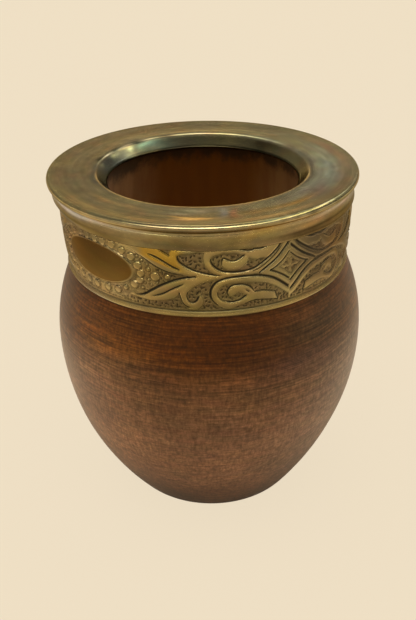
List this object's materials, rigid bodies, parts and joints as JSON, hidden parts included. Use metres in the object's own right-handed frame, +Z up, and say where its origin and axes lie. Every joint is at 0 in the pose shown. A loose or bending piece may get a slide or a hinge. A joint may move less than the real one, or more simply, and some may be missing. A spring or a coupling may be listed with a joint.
{
  "type": "mate cup",
  "caption": "Empty round-bellied cup of turned wood for drinking mate, with a wide chased brass collar and a flat ring rim round a narrow mouth.",
  "frame": {"origin": "middle of the flat foot, on the surface that the cup stands on", "axes": "+Z up the cup's axis towards the mouth; -Y towards the side that the picture shows"},
  "size_m": [0.0872, 0.0872, 0.0963],
  "materials": {
    "turned_wood": "reddish-brown turned hardwood, oiled, with fine dark turning lines and a soft sheen",
    "brass_sheet": "polished brass gone dull, with greenish-grey and brown patches",
    "chased_brass": "chased brass with dark recesses and polished raised parts"
  },
  "bodies": {
    "root": {"wood_body": "turned_wood", "brass_rim": "brass_sheet", "chased_band": "chased_brass"}
  },
  "joints": []
}
